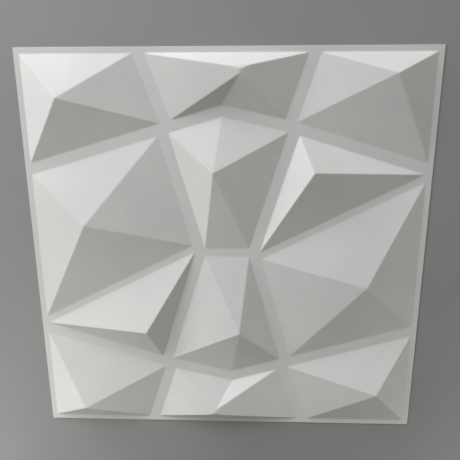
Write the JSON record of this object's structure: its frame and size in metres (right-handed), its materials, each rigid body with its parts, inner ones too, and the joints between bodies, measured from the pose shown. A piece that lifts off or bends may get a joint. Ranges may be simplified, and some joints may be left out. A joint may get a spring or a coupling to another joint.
{
  "type": "3d wall panel tile",
  "caption": "Square vacuum-formed PVC wall tile: hollow faceted pyramids in a net of flat channels inside a flat border, glued to a wall edge to edge with its neighbours.",
  "frame": {"origin": "middle of the back, on the plane of the wall it is glued to", "axes": "+Z out of the wall, +Y up the panel as it hangs, +X to the right seen from the front"},
  "size_m": [0.5, 0.5, 0.0209],
  "materials": {
    "pvc_sheet": "matte white, as formed"
  },
  "bodies": {
    "root": {"wall_panel": "pvc_sheet"}
  },
  "joints": []
}
